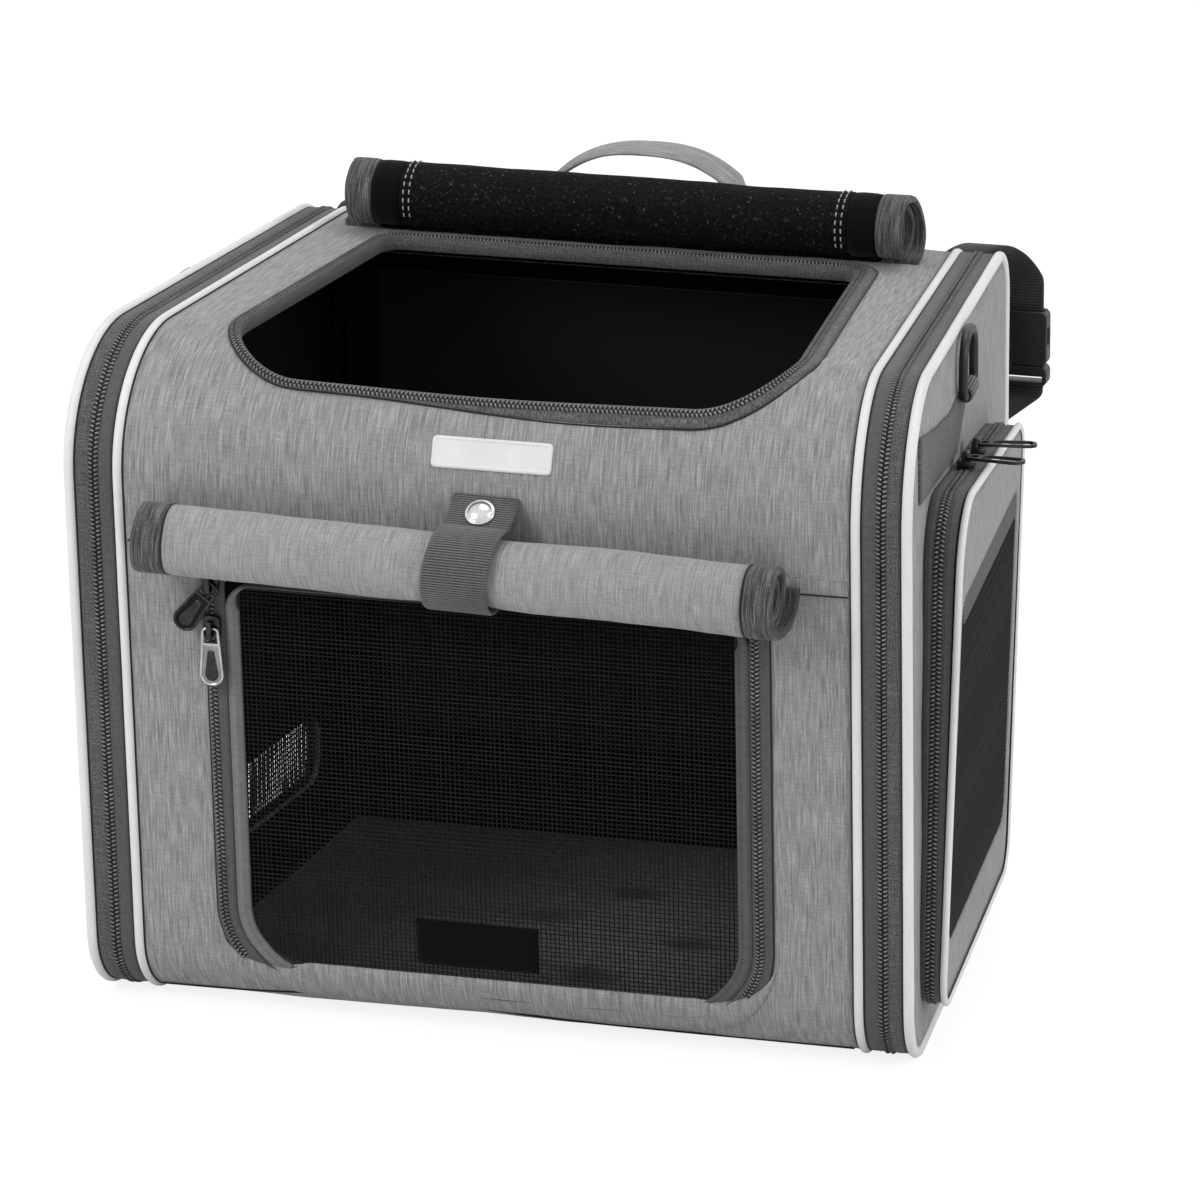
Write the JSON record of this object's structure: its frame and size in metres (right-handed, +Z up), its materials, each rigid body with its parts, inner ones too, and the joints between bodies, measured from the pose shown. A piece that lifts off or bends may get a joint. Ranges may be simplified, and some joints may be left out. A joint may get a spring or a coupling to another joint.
{
  "type": "dog bicycle basket",
  "caption": "Soft-sided grey dog basket for a handlebar, with a mesh front door, rolled-up flaps, an open top, a zipped side pocket and sides that unzip to widen it",
  "frame": {"origin": "middle of the flat base, on the surface that the basket stands on", "axes": "+Z up, +Y to the back, which hangs against the handlebar, +X to the right of someone who faces the front"},
  "size_m": [0.423, 0.3766, 0.3582],
  "materials": {
    "heather_fabric": "heather grey polyester with a fine slub weave, lightly padded",
    "trim_webbing": "dark grey slub fabric and webbing, matt",
    "reflective_piping": "silver-white reflective piping, satin",
    "black_mesh": "black open mesh, matt",
    "black_patch": "black fabric patch, bare",
    "gunmetal": "dark plated zinc, polished",
    "nickel": "nickel plated brass snap, polished",
    "white_plate": "white plate with a thin dark edge, bare",
    "black_plastic": "moulded black acetal, satin",
    "spring_wire": "spring steel wire in a sleeve",
    "stiffener_board": "black plastic stiffener board",
    "mat_fleece": "dark fleece mat"
  },
  "bodies": {
    "root": {"front_panel": "heather_fabric", "upper_panel": "heather_fabric", "back_panel": "heather_fabric", "bottom_panel": "heather_fabric", "front_flap_roll": "heather_fabric", "door_zip": "trim_webbing", "top_zip": "trim_webbing", "inner_gusset_right": "trim_webbing", "inner_gusset_left": "trim_webbing", "front_flap_roll_end_right": "trim_webbing", "front_flap_roll_end_left": "trim_webbing", "top_flap_roll_end_right": "trim_webbing", "top_flap_roll_end_left": "trim_webbing", "flap_strap": "trim_webbing", "bar_strap_right": "trim_webbing", "bar_strap_left": "trim_webbing", "lower_strap_right": "trim_webbing", "lower_strap_left": "trim_webbing", "inner_piping_right": "reflective_piping", "inner_piping_left": "reflective_piping", "expansion_fold_right": "black_mesh", "expansion_fold_left": "black_mesh", "top_flap_roll": "black_mesh", "snap_cap": "nickel", "face_plate": "white_plate", "buckle_socket_right": "black_plastic", "buckle_socket_left": "black_plastic", "frame_hoop_right": "spring_wire", "frame_hoop_left": "spring_wire", "bottom_board": "stiffener_board", "back_board": "stiffener_board", "floor_mat": "mat_fleece"},
    "door": {"door_net": "black_mesh", "door_binding": "trim_webbing", "net_patch": "black_patch"},
    "lower_slider": {"door_slider_lower": "gunmetal"},
    "lower_pull": {"door_pull_lower": "gunmetal"},
    "upper_slider": {"door_slider_upper": "gunmetal"},
    "upper_pull": {"door_pull_upper": "gunmetal"},
    "side_right": {"side_panel_right": "heather_fabric", "outer_gusset_right": "trim_webbing", "outer_piping_right": "reflective_piping", "ring_strap_right": "trim_webbing", "pocket_gusset": "trim_webbing", "pocket_piping": "reflective_piping", "pocket_face": "heather_fabric", "pocket_mesh": "black_mesh"},
    "side_left": {"side_panel_left": "heather_fabric", "outer_gusset_left": "trim_webbing", "outer_piping_left": "reflective_piping", "ring_strap_left": "trim_webbing", "window_binding": "trim_webbing", "window_net": "black_mesh"},
    "ring_right": {"d_ring_right": "black_plastic"},
    "ring_left": {"d_ring_left": "black_plastic"},
    "pocket_slider_front": {"pocket_slider_front": "gunmetal"},
    "pocket_slider_rear": {"pocket_slider_rear": "gunmetal"},
    "handle": {"carry_handle": "heather_fabric"},
    "plug_right": {"buckle_plug_right": "black_plastic"},
    "plug_left": {"buckle_plug_left": "black_plastic"}
  },
  "joints": [
    {"name": "door_hinge", "type": "hinge", "parent": "root", "child": "door", "pos_m": [0, -0.14351, 0.2137], "axis": [-1, 0, 0], "range_deg": [0, 85]},
    {"name": "lower_slider_travel", "type": "slide", "parent": "root", "child": "lower_slider", "axis": [0, 0.0562, -0.9984], "range_m": [0, 0.125]},
    {"name": "lower_pull_lift", "type": "hinge", "parent": "lower_slider", "child": "lower_pull", "pos_m": [-0.1295, -0.14973, 0.19261], "axis": [-1, 0, 0], "range_deg": [0, 120]},
    {"name": "upper_slider_travel", "type": "slide", "parent": "root", "child": "upper_slider", "axis": [0, 0.0562, -0.9984], "range_m": [0, 0.0045]},
    {"name": "upper_pull_lift", "type": "hinge", "parent": "upper_slider", "child": "upper_pull", "pos_m": [-0.1295, -0.15097, 0.21461], "axis": [-1, 0, 0], "range_deg": [0, 75]},
    {"name": "side_right_expand", "type": "slide", "parent": "root", "child": "side_right", "axis": [1, 0, 0], "range_m": [0, 0.12], "deforming": ["expansion_fold_right"]},
    {"name": "side_left_expand", "type": "slide", "parent": "root", "child": "side_left", "axis": [-1, 0, 0], "range_m": [0, 0.12], "deforming": ["expansion_fold_left"]},
    {"name": "ring_right_swing", "type": "hinge", "parent": "side_right", "child": "ring_right", "pos_m": [0.18927, 0.0015, 0.288], "axis": [-0.091, 0.9958, 0], "range_deg": [0, 135]},
    {"name": "ring_left_swing", "type": "hinge", "parent": "side_left", "child": "ring_left", "pos_m": [-0.18927, 0.0015, 0.288], "axis": [-0.091, -0.9958, 0], "range_deg": [0, 160]},
    {"name": "pocket_front_travel", "type": "slide", "parent": "side_right", "child": "pocket_slider_front", "axis": [0.0896, -0.9917, 0.0919], "range_m": [0, 0.05]},
    {"name": "pocket_rear_travel", "type": "slide", "parent": "side_right", "child": "pocket_slider_rear", "axis": [-0.0896, 0.9917, -0.0919], "range_m": [0, 0.06]},
    {"name": "handle_fold", "type": "hinge", "parent": "root", "child": "handle", "pos_m": [0, 0.132, 0.31646], "axis": [-1, 0, 0], "range_deg": [0, 45]},
    {"name": "buckle_right_release", "type": "slide", "parent": "root", "child": "plug_right", "axis": [0, 0, -1], "range_m": [0, 0.03], "deforming": ["lower_strap_right"]},
    {"name": "buckle_left_release", "type": "slide", "parent": "root", "child": "plug_left", "axis": [0, 0, -1], "range_m": [0, 0.03], "deforming": ["lower_strap_left"]}
  ]
}
